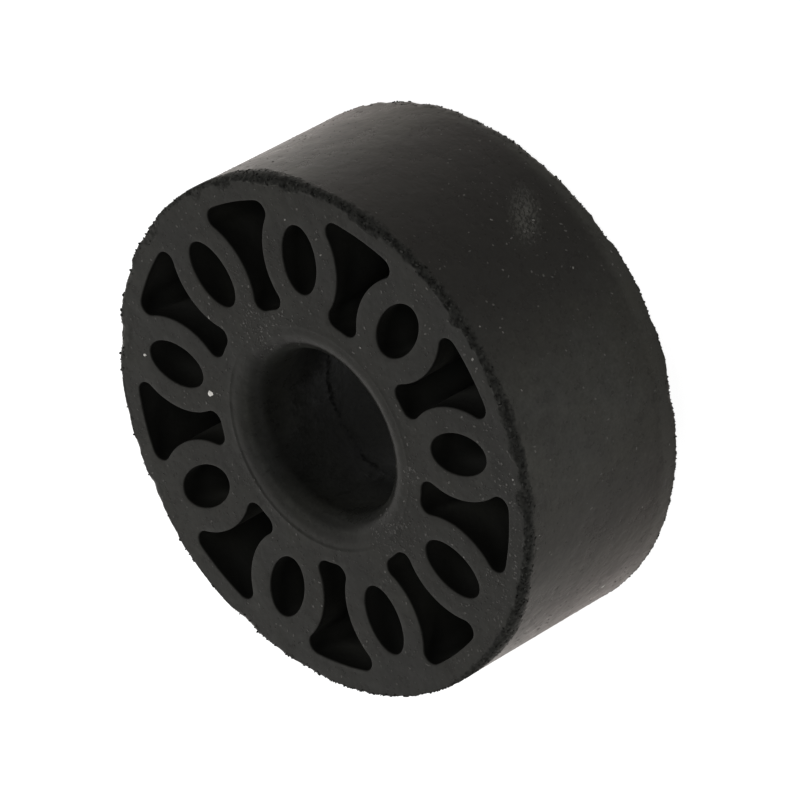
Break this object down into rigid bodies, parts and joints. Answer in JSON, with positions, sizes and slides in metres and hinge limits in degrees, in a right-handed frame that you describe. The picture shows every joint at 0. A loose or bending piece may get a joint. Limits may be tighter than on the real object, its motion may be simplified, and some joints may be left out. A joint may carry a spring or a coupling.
{
  "type": "round rubber vibration mount",
  "caption": "Round one-piece rubber vibration mount: a short disc with a lipped bore and a ring of oval and bell-shaped cells that make it soft.",
  "frame": {"origin": "centre of the lower end face, on the mount's axis", "axes": "+Z along the mount's axis, away from the face that it stands on; +X through the middle of an oval cell"},
  "size_m": [0.05, 0.05, 0.02],
  "materials": {
    "rubber": "matte moulded black rubber with torn flash at the rims"
  },
  "bodies": {
    "root": {"rubber_mount": "rubber"}
  },
  "joints": []
}
